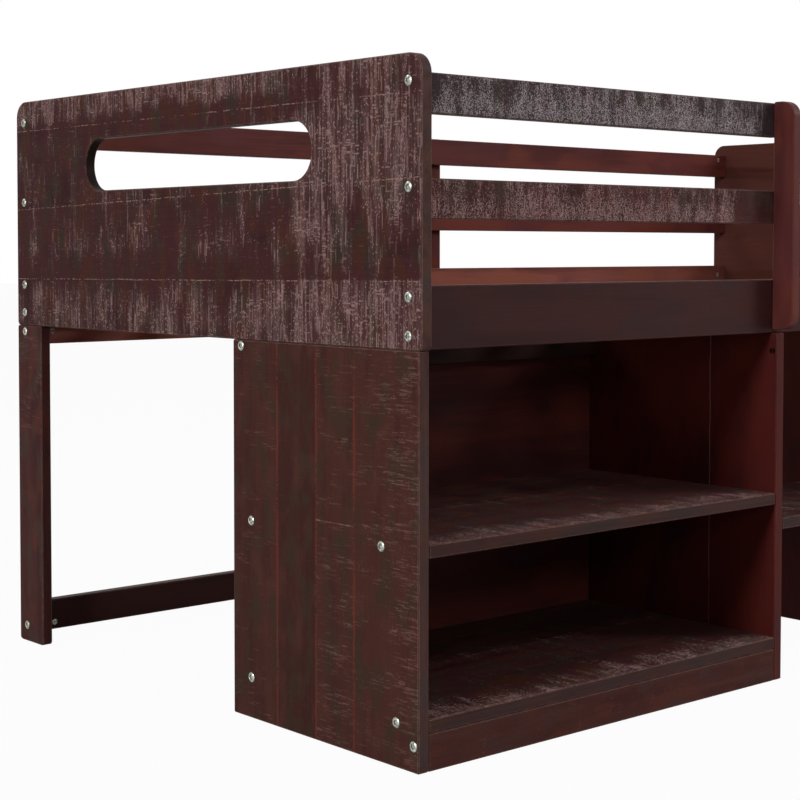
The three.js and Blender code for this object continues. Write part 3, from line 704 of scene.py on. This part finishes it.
def sawn_board(
    name, along, outward, marks, coverage, planks=None, joint=None, painted_shade_mask=None,
    sawn=SAWN, planed=PLANED, edges=EDGES, mark=MARK, grain=SAWN_GRAIN, figure=None,
):
    """A board with its outer face sawn and dry-brushed, its edges plain, and its inner face planed.

    marks holds the inputs of the saw marks, and coverage is how much of the face they cover: a number, or
    a function that builds one. planks holds what plank_steps takes, then the shade of the seams and how
    much the coverage changes from plank to plank. joint and shaded build masks of a pieced plank and of
    edges darkened with painted shade.
    """
    material, tree, shader = new_material(name)
    board = board_vector(tree, along)
    faces = tree.use(FACES, Outward=outward)
    tone = 0.0
    if callable(coverage):
        coverage = coverage(tree)
    if planks:
        *layout, seam_shade, swing = planks
        lines, chance = plank_steps(tree, board, *layout)
        step = tree.minus(chance, 0.5)
        tone = tree.times(step, PLANK_TONE)
        coverage = tree.plus(tree.times(step, swing), coverage)
    outer = stain(tree, board, sawn, grain, tone, figure)
    plain = stain(tree, board, edges, EDGE_GRAIN)["Colour"]
    inner = stain(tree, board, planed, PLANED_GRAIN, tone, SMOOTH)
    saw = tree.use(SAW_MARKS, Board=board, Coverage=coverage, **marks)
    marked = tree.mix(saw["Mask"], outer["Colour"], linear(*mark))
    if planks:
        marked = tree.mix(tree.times(lines, SAWN_SEAM), marked, linear(*seam_shade))
    if joint:
        marked = tree.mix(joint(tree), marked, linear(*PALE_WEAR_AND_HIGHLIGHT))
    # The grip slot's edges are darkened with painted shade
    if painted_shade_mask:
        plain = tree.mix(painted_shade_mask(tree), plain, linear(*GRIP_SLOT_PAINTED_SHADE))
    colour = tree.mix(faces["Outer"], plain, marked)
    colour = tree.mix(faces["Inner"], colour, inner["Colour"])
    # Arrises are painted pale: partly rubbed wood, partly a painted highlight
    wear_and_highlight = tree.use(EDGE_WEAR_AND_HIGHLIGHT, Board=board, **SAWN_WEAR_AND_HIGHLIGHT)
    tree.join(tree.mix(wear_and_highlight["Mask"], colour, linear(*PALE_WEAR_AND_HIGHLIGHT)), shader.inputs["Base Color"])
    sawn_roughness = tree.ramp(saw["Height"], *SHEEN_LIMITS, *SAWN_ROUGHNESS)
    tree.join(tree.blend(faces["Outer"], EDGE_ROUGHNESS, sawn_roughness), shader.inputs["Roughness"])
    shader.inputs["Specular IOR Level"].default_value = MATT
    height = tree.times(saw["Height"], faces["Outer"])
    height = tree.plus(height, tree.times(outer["Grain"], GRAIN_RELIEF))
    relief(tree, shader, height, *SAWN_RELIEF)
    return material


def planed_board(name, along, shades=PLANED, planks=None, worn_and_highlit=PALE_PLANED_WEAR_AND_HIGHLIGHT):
    """Planed board under the same stain, redder and with a low sheen.

    planks is as a sawn board's, but its last number is how much the tone changes from plank to plank.
    """
    material, tree, shader = new_material(name)
    board = board_vector(tree, along)
    tone = 0.0
    if planks:
        *layout, seam_shade, swing = planks
        lines, chance = plank_steps(tree, board, *layout)
        tone = tree.times(tree.minus(chance, 0.5), swing)
    finish = stain(tree, board, shades, PLANED_GRAIN, tone, SMOOTH)
    colour = finish["Colour"]
    if planks:
        colour = tree.mix(tree.times(lines, PLANED_SEAM), colour, linear(*seam_shade))
    # Arrises are painted pale: partly rubbed wood, partly a painted highlight
    wear_and_highlight = tree.use(EDGE_WEAR_AND_HIGHLIGHT, Board=board, **PLANED_WEAR_AND_HIGHLIGHT)
    tree.join(tree.mix(wear_and_highlight["Mask"], colour, linear(*worn_and_highlit)), shader.inputs["Base Color"])
    tree.join(tree.ramp(finish["Grain"], 0.0, 1.0, *PLANED_ROUGHNESS), shader.inputs["Roughness"])
    shader.inputs["Specular IOR Level"].default_value = SATIN
    relief(tree, shader, finish["Grain"], *PLANED_RELIEF)
    return material


def bare_pine(name, along):
    """Unstained planed pine with soft yellow grain."""
    material, tree, shader = new_material(name)
    finish = stain(tree, board_vector(tree, along), PINE, PINE_GRAIN)
    tree.join(finish["Colour"], shader.inputs["Base Color"])
    shader.inputs["Roughness"].default_value = PINE_ROUGHNESS
    relief(tree, shader, finish["Grain"], *PLANED_RELIEF)
    return material


def zinc_plate(name, metal):
    """Zinc-plated steel with a slightly green cast, fine mottling, and dirt with painted shade darkening
    its corners.

    metal is how bright the plating is: low where a dull coat has dried on it.
    """
    material, tree, shader = new_material(name)
    mottle = tree.noise(tree.coordinates(), *MOTTLE_SIZE, detail=3.0, roughness=0.7)
    colour = tree.mix(tree.ramp(mottle, *MOTTLE_LIMITS), linear(*ZINC_DARK), linear(*ZINC_LIGHT))
    # This mask holds dirt and painted shade: dark in the sockets, the slots and the collars at the heads'
    # feet
    grime_and_shade = tree.add("ShaderNodeAttribute", attribute_name="grime_and_shade").outputs["Fac"]
    colour = tree.mix(tree.times(grime_and_shade, GRIME_AND_SHADE_SHARE), colour, linear(*GRIME_AND_SHADE))
    tree.join(colour, shader.inputs["Base Color"])
    tree.join(tree.ramp(grime_and_shade, *GRIME_AND_SHADE_LIMITS, metal, 0.0), shader.inputs["Metallic"])
    tree.join(tree.ramp(mottle, *SHEEN_LIMITS, *ZINC_ROUGHNESS), shader.inputs["Roughness"])
    return material


# Which finish each node wears


def board_finishes():
    """The finish of each kind of board, by the words that its nodes' names hold."""
    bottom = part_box("end_panel_left")[LOW].z
    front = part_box("bookcase_left_outer_side")[LOW].y
    dowel_pine = bare_pine("pine_dowel", "z")
    long_planed = planed_board("planed_rail", "x", PLANED_RAIL)
    # Glued-up planks: their axis, edge, seams and line, the shade of the seams and the change by plank
    end_planks = ("Z", bottom, END_PANEL_SEAMS, PALE_SEAM, PALE_WEAR_AND_HIGHLIGHT, 0.0)
    side_planks = ("Y", front, BOOKCASE_SIDE_SEAMS, RED_SEAM, SEAM_SHADE, 0.5)
    shelf_planks = ("Y", front, SHELF_SEAMS, PALE_SEAM, SHELF_SEAM_SHADE, 0.2)
    inner_planks = ("Y", front, INNER_SIDE_SEAMS, DARK_SEAM, PALE_WEAR_AND_HIGHLIGHT, 0.5)
    wears = {
        "end_panel_dowel": dowel_pine,
        "tread_dowel": dowel_pine,
        "end_panel": sawn_board(
            "sawn_end_panel", "y", ENDWARD, END_PANEL_MARKS, panel_coverage, planks=end_planks,
            painted_shade_mask=grip_slot_shade_mask, planed=PLANED_END, edges=PANEL_EDGES, figure=UPRIGHT,
        ),
        "rear_leg": sawn_board(
            "sawn_leg", "z", ENDWARD, TICK_MARKS, leg_coverage, sawn=SAWN_LEG, edges=PLAIN, mark=SIDE_MARK
        ),
        # Its seen inner face takes a stain darkened with painted shade
        "rear_stretcher": sawn_board(
            "sawn_stretcher", "x", SIDEWARD, FAINT_MARKS, STRETCHER_LEVEL, planed=STRETCHER_PAINTED_SHADE
        ),
        "side_rail_front": planed_board("planed_side_rail", "x", SIDE_RAIL),
        "side_rail_rear": planed_board("planed_low_rail", "x", PLANED_LOW_RAIL),
        "guard_rail_rear": long_planed,
        "guard_stile": planed_board("planed_stile", "z", PLANED_RAIL),
        "step_tread": sawn_board("sawn_tread", "x", UPWARD, SHELF_MARKS, TREAD_LEVEL),
        "slat_cleat": bare_pine("pine_cleat", "x"),
        "slat": bare_pine("pine_slat", "y"),
        "outer_side": sawn_board(
            "sawn_bookcase_side", "z", ENDWARD, TICK_MARKS, side_coverage, planks=side_planks,
            joint=pale_joint, sawn=SAWN_SIDE, edges=PANEL_EDGES, mark=SIDE_MARK, grain=SIDE_GRAIN,
        ),
        "inner_side": planed_board("planed_inner_side", "z", planks=inner_planks),
        "kickboard": sawn_board(
            "sawn_kickboard", "x", SIDEWARD, FAINT_MARKS, KICKBOARD_LEVEL, sawn=KICKBOARD
        ),
        "shelf": sawn_board("sawn_shelf", "x", UPWARD, SHELF_MARKS, shelf_coverage, planks=shelf_planks),
        # The back rail is darkened with painted shade
        "back_rail": planed_board("painted_shade_rail", "x", BACK_RAIL_IN_PAINTED_SHADE, worn_and_highlit=BACK_RAIL_EDGE_IN_PAINTED_SHADE),
        "back_panel": planed_board("stained_back_board", "x", BACK_BOARD),
    }
    guards = (
        ("upper", BARE_UPPER, SAWN_UPPER_RAIL, UPPER_RAIL_MARK),
        ("lower", BARE_LOWER, SAWN_LOWER_RAIL, LOWER_RAIL_MARK),
    )
    for level, bare, shades, mark in guards:
        cover = guard_coverage("guard_rail_front_left_" + level, bare)
        look = dict(sawn=shades, mark=mark, figure=UPRIGHT)
        finish = sawn_board(f"sawn_{level}_guard", "x", SIDEWARD, RAIL_MARKS, cover, **look)
        for side in SIDES:
            wears[f"guard_rail_front_{side}_{level}"] = finish
    return wears


def finish_nodes():
    """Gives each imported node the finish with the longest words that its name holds."""
    wears = board_finishes()
    for name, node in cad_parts.items():
        for side in SIDES:
            name = name.replace(f"bookcase_{side}_", "")
        words = max((words for words in wears if words in name), key=len)
        node.data.materials.clear()
        node.data.materials.append(wears[words])


# Bolts and barrel nuts


def ring_quads(many, around):
    """The quads between each ring of points and the next, where the points are numbered ring by ring."""
    i, j = np.meshgrid(np.arange(many - 1), np.arange(around), indexing="ij")
    here, beside = i * around + j, i * around + (j + 1) % around
    return np.stack((here, beside, beside + around, here + around), axis=-1).reshape(-1, 4)


def turned_surface(rows):
    """A solid turned about z: point (i, j) stands at height i, at radius (i, j) and at angle j of a turn.

    Each row holds its radii, its height and its share of dirt and painted shade. The first and the last
    radii are zero, so that the surface closes on its axis. Returns the points, the quads between them and
    the share of dirt and painted shade at each point.
    The quads face outwards while the rows lead from the underside round to the top.
    """
    radii, heights, grime_and_shade = (np.array(column) for column in zip(*rows))
    many, around = radii.shape
    angles = np.arange(around) * 2 * math.pi / around
    points = np.empty((many, around, 3))
    points[..., 0] = radii * np.cos(angles)
    points[..., 1] = radii * np.sin(angles)
    points[..., 2] = heights[:, None]
    return points.reshape(-1, 3), ring_quads(many, around), np.repeat(grime_and_shade, around)


def bolt_head():
    """A flat head pressed a little into the stain, with a six-sided socket, its underside at z = 0.

    From a thin collar, darkened with dirt and painted shade, the rim rises as a quarter of a sine, twice
    as wide as it is high, to the flat top. The socket's radius at an angle is half its width over the
    cosine of the angle to the middle of the nearest side, and it opens in a chamfer. Each row has its
    share of dirt and painted shade, which darken the collar, the rim's foot and the socket's walls.
    """
    angles = np.arange(FACETS) * 2 * math.pi / FACETS
    sixth = math.pi / 3
    socket = SOCKET_WIDTH / 2 / np.cos((angles + sixth / 2) % sixth - sixth / 2)
    even = np.ones(FACETS)
    half, shoulder, floor = HEAD_WIDTH / 2, HEAD_HEIGHT - HEAD_RIM, HEAD_HEIGHT - SOCKET_DEPTH
    collar = (half + COLLAR) * even
    # Dirt and painted shade darken the collar, the rim's foot and the socket's walls
    rows = [(0 * even, 0.0, GRIMY_AND_SHADED), (collar, 0.0, GRIMY_AND_SHADED), (collar, COLLAR_HEIGHT, GRIMY_AND_SHADED)]
    rows += [(half * even, COLLAR_HEIGHT, GRIMY_AND_SHADED), (half * even, shoulder, RIM_GRIME_AND_SHADE)]
    for share in np.linspace(0.0, 1.0, RIM_STEPS + 1)[1:]:
        rise = shoulder + HEAD_RIM * math.sin(share * math.pi / 2)
        rows.append(((half - HEAD_RIM * 2 * share) * even, rise, CLEAN_AND_UNSHADED))
    rows += [(socket + SOCKET_CHAMFER, HEAD_HEIGHT, CLEAN_AND_UNSHADED)]
    rows += [(socket, HEAD_HEIGHT - SOCKET_CHAMFER, CHAMFER_GRIME_AND_SHADE), (socket, floor, GRIMY_AND_SHADED)]
    rows += [(socket * SOCKET_FLOOR_SHARE, floor, SOCKET_FLOOR_GRIME_AND_SHADE), (0 * even, floor, CLEAN_AND_UNSHADED)]
    return turned_surface(rows)


def barrel_nut():
    """The end of a round barrel nut, its face at z = 0, with a slot along x, darkened with dirt and
    painted shade, in a bright face.

    Six-cornered sections stand side by side along y. A section's half width is the radius times the root
    of one less the square of its share of the radius, and its top lies lower where it crosses the slot.
    """
    radius = NUT_WIDTH / 2
    slot_angle = math.asin(SLOT_WIDTH / NUT_WIDTH)
    beside = np.sin(np.linspace(-math.pi / 2, -slot_angle, SECTIONS_BESIDE_SLOT))
    shares = np.concatenate((beside, beside[-1:], -beside[-1:], -beside[::-1]))
    in_slot = np.zeros(len(shares))
    in_slot[len(beside) : len(beside) + 2] = 1.0
    half_widths = radius * np.sqrt(np.maximum(0.0, 1.0 - shares**2))
    tops = -SLOT_DEPTH * in_slot
    points = np.empty((len(shares), 6, 3))
    points[..., 0] = half_widths[:, None] * np.array((-1, -1, -1, 1, 1, 1))
    points[..., 1] = radius * shares[:, None]
    points[..., 2] = -SLOT_DEPTH
    points[:, (0, 5), 2] = -NUT_DEPTH
    points[:, (2, 3), 2] = tops[:, None]
    # Dirt and painted shade darken the slot
    grime_and_shade = NUT_FACE_GRIME_AND_SHADE + (NUT_SLOT_GRIME_AND_SHADE - NUT_FACE_GRIME_AND_SHADE) * in_slot
    return points.reshape(-1, 3), ring_quads(len(shares), 6), np.repeat(grime_and_shade, 6)


def placed(solid, place, outward):
    """A solid moved to a place, its +z pointing outward and its x along the bed, or up on an end face."""
    points, quads, grime_and_shade = solid
    on_end = abs(outward.x) > 0.5
    aside = Vector((0.0, 0.0, 1.0)) if on_end else Vector((1.0, 0.0, 0.0))
    axes = np.array((aside, outward.cross(aside), outward))
    return points @ axes + np.array(place), quads, grime_and_shade


def add_hardware(name, solids, material):
    """One object of many separate closed solids, with the doubled points of their poles merged."""
    starts = np.cumsum([0] + [len(points) for points, _, _ in solids])
    points = np.concatenate([points for points, _, _ in solids])
    quads = np.concatenate([quads + start for (_, quads, _), start in zip(solids, starts)])
    mesh = bpy.data.meshes.new(name)
    mesh.from_pydata(points.tolist(), [], quads.tolist())
    grime_and_shade = mesh.attributes.new("grime_and_shade", "FLOAT", "POINT")
    grime_and_shade.data.foreach_set("value", np.concatenate([grime_and_shade for _, _, grime_and_shade in solids]))
    shape = bmesh.new()
    shape.from_mesh(mesh)
    bmesh.ops.remove_doubles(shape, verts=shape.verts, dist=MERGE_DISTANCE)
    shape.to_mesh(mesh)
    shape.free()
    mesh.materials.append(material)
    piece = bpy.data.objects.new(name, mesh)
    bpy.context.scene.collection.objects.link(piece)
    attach(piece, "root")


def middle(node):
    """The middle of a node's box."""
    low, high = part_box(node)
    return (low + high) / 2


def held_bolt(node, axis, edge, inset, nut_axis, nut_side, head_x, sense):
    """Where the head of a bolt along X lies, and the barrel nut in the piece that it holds.

    The bolt lies an inset from the low or high edge of the held piece along one axis, and at its middle
    along the other. The nut's face is the low or high side of the piece along the nut's own axis.
    """
    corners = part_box(node)
    head = middle(node)
    head[axis] = corners[edge][axis] + (inset if edge == LOW else -inset)
    head.x = head_x
    nut = head.copy()
    nut.x = head_x + sense * (END_BOARD + END_GAP + NUT_FROM_END)
    nut[nut_axis] = corners[nut_side][nut_axis]
    outward = Vector((0.0, 0.0, 0.0))
    outward[nut_axis] = -1.0 if nut_side == LOW else 1.0
    return (head, Vector((-sense, 0.0, 0.0))), (nut, outward)


def stile_bolts():
    """Heads on the inner faces of the front rails, and on the outer face of the rear stile."""
    rearward = Vector((0.0, 1.0, 0.0))
    heads = []
    for side in SIDES:
        x, guard = middle("guard_stile_front_" + side).x, f"guard_rail_front_{side}_"
        for rail in ("side_rail_front", guard + "lower", guard + "upper"):
            heads.append((Vector((x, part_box(rail)[HIGH].y, middle(rail).z)), rearward))
    x, y = middle("guard_stile_rear").x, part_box("guard_stile_rear")[HIGH].y
    for rail in ("side_rail_rear", "guard_rail_rear_lower", "guard_rail_rear_upper"):
        heads.append((Vector((x, y, middle(rail).z)), rearward))
    return heads


def fit_hardware():
    """Every bolt head and barrel nut, grouped by what it holds together."""
    bright, dull = zinc_plate("bright_zinc", BRIGHT_METAL), zinc_plate("dull_zinc", DULL_METAL)
    end_heads, rail_nuts, shelf_heads, shelf_nuts = [], [], [], []
    for side, outwards, outer, nearer in (("left", -1.0, LOW, HIGH), ("right", 1.0, HIGH, LOW)):
        end_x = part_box("end_panel_" + side)[outer].x
        for node, *where in END_BOLTS:
            head, nut = held_bolt(node.format(side=side), *where, end_x, -outwards)
            end_heads.append(head)
            rail_nuts.append(nut)
        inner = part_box(f"bookcase_{side}_inner_side")
        for node, *where in BOOKCASE_BOLTS:
            for head_x, sense in ((end_x, -outwards), (inner[nearer].x, outwards)):
                head, nut = held_bolt(f"bookcase_{side}_{node}", *where, head_x, sense)
                shelf_heads.append(head)
                shelf_nuts.append(nut)
        side_nut = Vector((inner[outer].x, inner[LOW].y + SIDE_NUT_INSET, inner[HIGH].z - SIDE_NUT_DROP))
        shelf_nuts.append((side_nut, Vector((outwards, 0.0, 0.0))))
    groups = (
        ("bolt_heads_ends", bolt_head(), end_heads, bright),
        ("bolt_heads_bookcases", bolt_head(), shelf_heads, bright),
        ("bolt_heads_stiles", bolt_head(), stile_bolts(), bright),
        ("barrel_nuts_rails", barrel_nut(), rail_nuts, dull),
        ("barrel_nuts_bookcases", barrel_nut(), shelf_nuts, dull),
    )
    for name, solid, seats, plating in groups:
        add_hardware(name, [placed(solid, place, outward) for place, outward in seats], plating)


# Surroundings


def make_camera():
    """The photograph's viewpoint; the shift places the picture's frame as the photograph was cropped."""
    corner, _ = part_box("end_panel_left")
    data = bpy.data.cameras.new("viewpoint")
    data.sensor_width = SENSOR_WIDTH
    data.lens = FOCAL_PIXELS / IMAGE_SIDE * SENSOR_WIDTH
    data.shift_x = (IMAGE_SIDE / 2 - PRINCIPAL_X) / IMAGE_SIDE
    data.shift_y = (PRINCIPAL_Y - IMAGE_SIDE / 2) / IMAGE_SIDE
    camera = bpy.data.objects.new("viewpoint", data)
    camera.location = Vector((corner.x, corner.y, 0.0)) + CAMERA_FROM_CORNER
    camera.rotation_euler = (math.pi / 2 - CAMERA_TILT, 0.0, -CAMERA_TURN)
    bpy.context.scene.collection.objects.link(camera)
    bpy.context.scene.camera = camera


def make_lamps():
    """Soft round lamps on a sphere about the bed's near end."""
    for name, (turn, height, size, power) in LAMPS.items():
        turn, height = math.radians(turn), math.radians(height)
        level = math.cos(height)
        away = Vector((-math.sin(turn) * level, -math.cos(turn) * level, math.sin(height)))
        data = bpy.data.lights.new(name, "AREA")
        data.shape = "DISK"
        data.size = size
        data.energy = power
        lamp = bpy.data.objects.new(name, data)
        lamp.location = LAMP_AIM + away * LAMP_DISTANCE
        lamp.rotation_euler = (-away).to_track_quat("-Z", "Y").to_euler()
        bpy.context.scene.collection.objects.link(lamp)


def seen(tree):
    """One for what is seen, directly, in a reflection or through a clear piece, and zero otherwise."""
    rays = tree.add("ShaderNodeLightPath").outputs
    direct = tree.maths("MAXIMUM", rays["Is Camera Ray"], rays["Is Glossy Ray"])
    return tree.maths("MAXIMUM", direct, rays["Is Transmission Ray"])


def make_surround():
    """A dim even surround that is white where it is seen."""
    world = bpy.data.worlds.new("surround")
    world.use_nodes = True
    bpy.context.scene.world = world
    tree = Tree(world.node_tree)
    background = world.node_tree.nodes["Background"]
    background.inputs["Color"].default_value = WHITE
    tree.join(tree.plus(AMBIENT, tree.times(seen(tree), 1.0 - AMBIENT)), background.inputs["Strength"])


def make_floor():
    """A white floor that keeps a faint shadow: where it is seen, most of it glows at strength 1."""
    signs = np.array([(-1, -1, 0), (1, -1, 0), (1, 1, 0), (-1, 1, 0)])
    mesh = bpy.data.meshes.new("floor")
    mesh.from_pydata((signs * FLOOR_SIDE / 2).tolist(), [], [(0, 1, 2, 3)])
    floor = bpy.data.objects.new("floor", mesh)
    bpy.context.scene.collection.objects.link(floor)
    material, tree, shader = new_material("white_floor")
    shader.inputs["Base Color"].default_value = (FLOOR_SHADE, FLOOR_SHADE, FLOOR_SHADE, 1.0)
    shader.inputs["Roughness"].default_value = FLOOR_ROUGHNESS
    glow = tree.add("ShaderNodeEmission")
    glow.inputs["Color"].default_value = WHITE
    blend = tree.add("ShaderNodeMixShader")
    tree.join(tree.times(seen(tree), FLOOR_WHITE_SHARE), blend.inputs["Fac"])
    tree.join(shader.outputs["BSDF"], blend.inputs[1])
    tree.join(glow.outputs["Emission"], blend.inputs[2])
    tree.join(blend.outputs["Shader"], material.node_tree.nodes["Material Output"].inputs["Surface"])
    mesh.materials.append(material)


finish_nodes()
fit_hardware()
make_camera()
make_lamps()
make_surround()
make_floor()
bpy.context.scene.view_settings.view_transform = "Standard"
